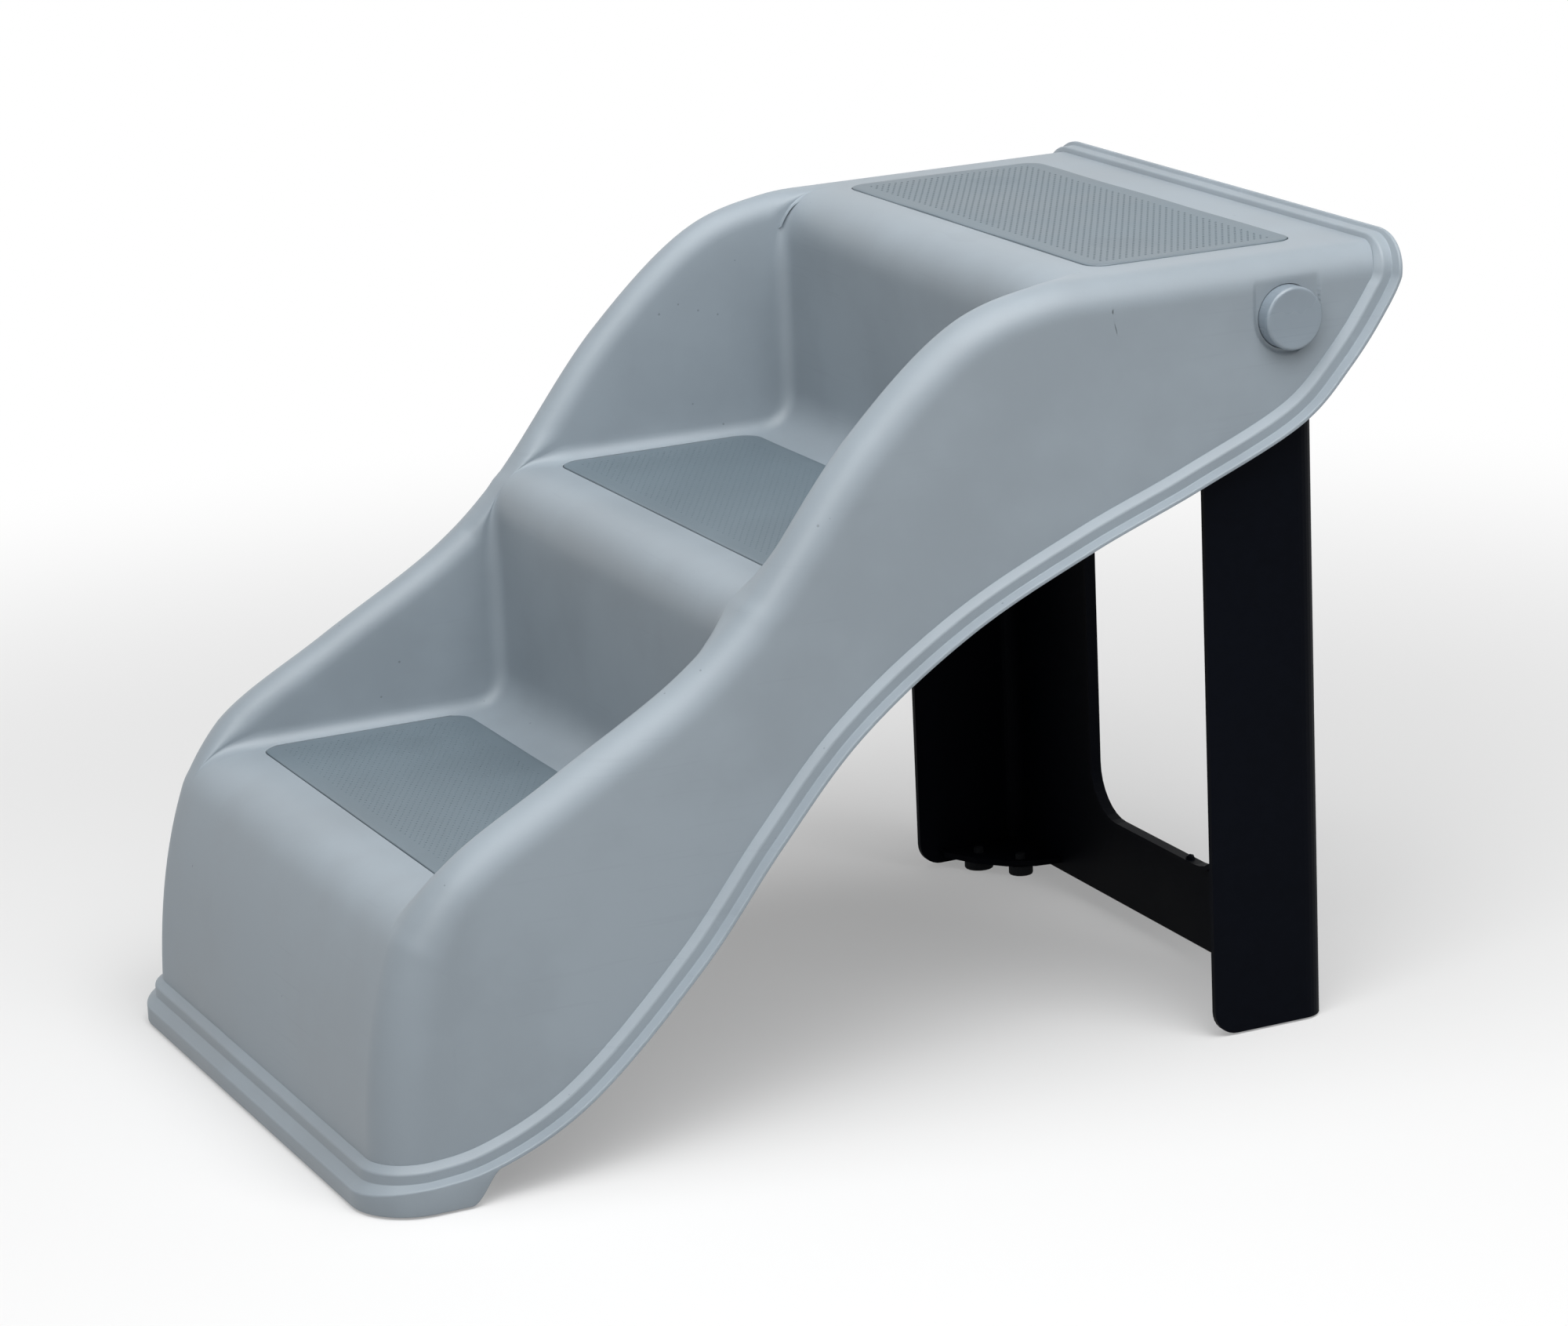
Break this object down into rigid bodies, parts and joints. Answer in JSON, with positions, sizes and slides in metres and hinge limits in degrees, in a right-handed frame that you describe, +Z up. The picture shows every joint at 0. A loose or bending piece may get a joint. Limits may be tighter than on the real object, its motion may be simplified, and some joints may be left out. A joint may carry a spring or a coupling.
{
  "type": "folding pet stairs",
  "caption": "Moulded pet stairs with padded treads and tall side walls, on a fold-away leg frame that round push buttons lock and release.",
  "frame": {"origin": "on the floor, midway along the stairs' length and width", "axes": "+X from the low front step to the high back, +Y across the stairs, +Z up"},
  "size_m": [0.628, 0.395, 0.443],
  "materials": {
    "shell_plastic": "satin grey moulded plastic with a fine grain",
    "tread_mat": "matt blue-grey perforated pad",
    "leg_plastic": "near-black moulded plastic",
    "inner_plastic": "dark grey moulded plastic, hidden",
    "button_plastic": "smooth grey plastic with a glossy edge",
    "steel": "plain steel",
    "foot_rubber": "black rubber"
  },
  "bodies": {
    "shell": {"body_shell": "shell_plastic", "lower_tread_mat": "tread_mat", "middle_tread_mat": "tread_mat", "upper_tread_mat": "tread_mat", "near_pivot_housing": "inner_plastic", "far_pivot_housing": "inner_plastic", "near_button_spring": "steel", "far_button_spring": "steel", "near_hub_washer": "inner_plastic", "far_hub_washer": "inner_plastic", "near_screw_washer": "steel", "far_screw_washer": "steel", "near_pivot_screw": "steel", "far_pivot_screw": "steel", "near_front_foot": "foot_rubber", "far_front_foot": "foot_rubber"},
    "leg": {"leg_frame": "leg_plastic", "near_leg_foot_peg": "foot_rubber", "far_leg_foot_peg": "foot_rubber", "near_leg_foot_pad": "foot_rubber", "far_leg_foot_pad": "foot_rubber"},
    "near_button": {"near_lock_button": "button_plastic"},
    "far_button": {"far_lock_button": "button_plastic"}
  },
  "joints": [
    {"name": "leg_fold", "type": "hinge", "parent": "shell", "child": "leg", "pos_m": [0.245, 0, 0.405], "axis": [0, 1, 0], "range_deg": [0, 50]},
    {"name": "near_button_press", "type": "slide", "parent": "shell", "child": "near_button", "axis": [0, 1, 0], "range_m": [0, 0.004], "stiffness_N_per_m": 500, "springref_m": -0.006, "deforming": ["near_button_spring"]},
    {"name": "far_button_press", "type": "slide", "parent": "shell", "child": "far_button", "axis": [0, -1, 0], "range_m": [0, 0.004], "stiffness_N_per_m": 500, "springref_m": -0.006, "deforming": ["far_button_spring"]}
  ]
}
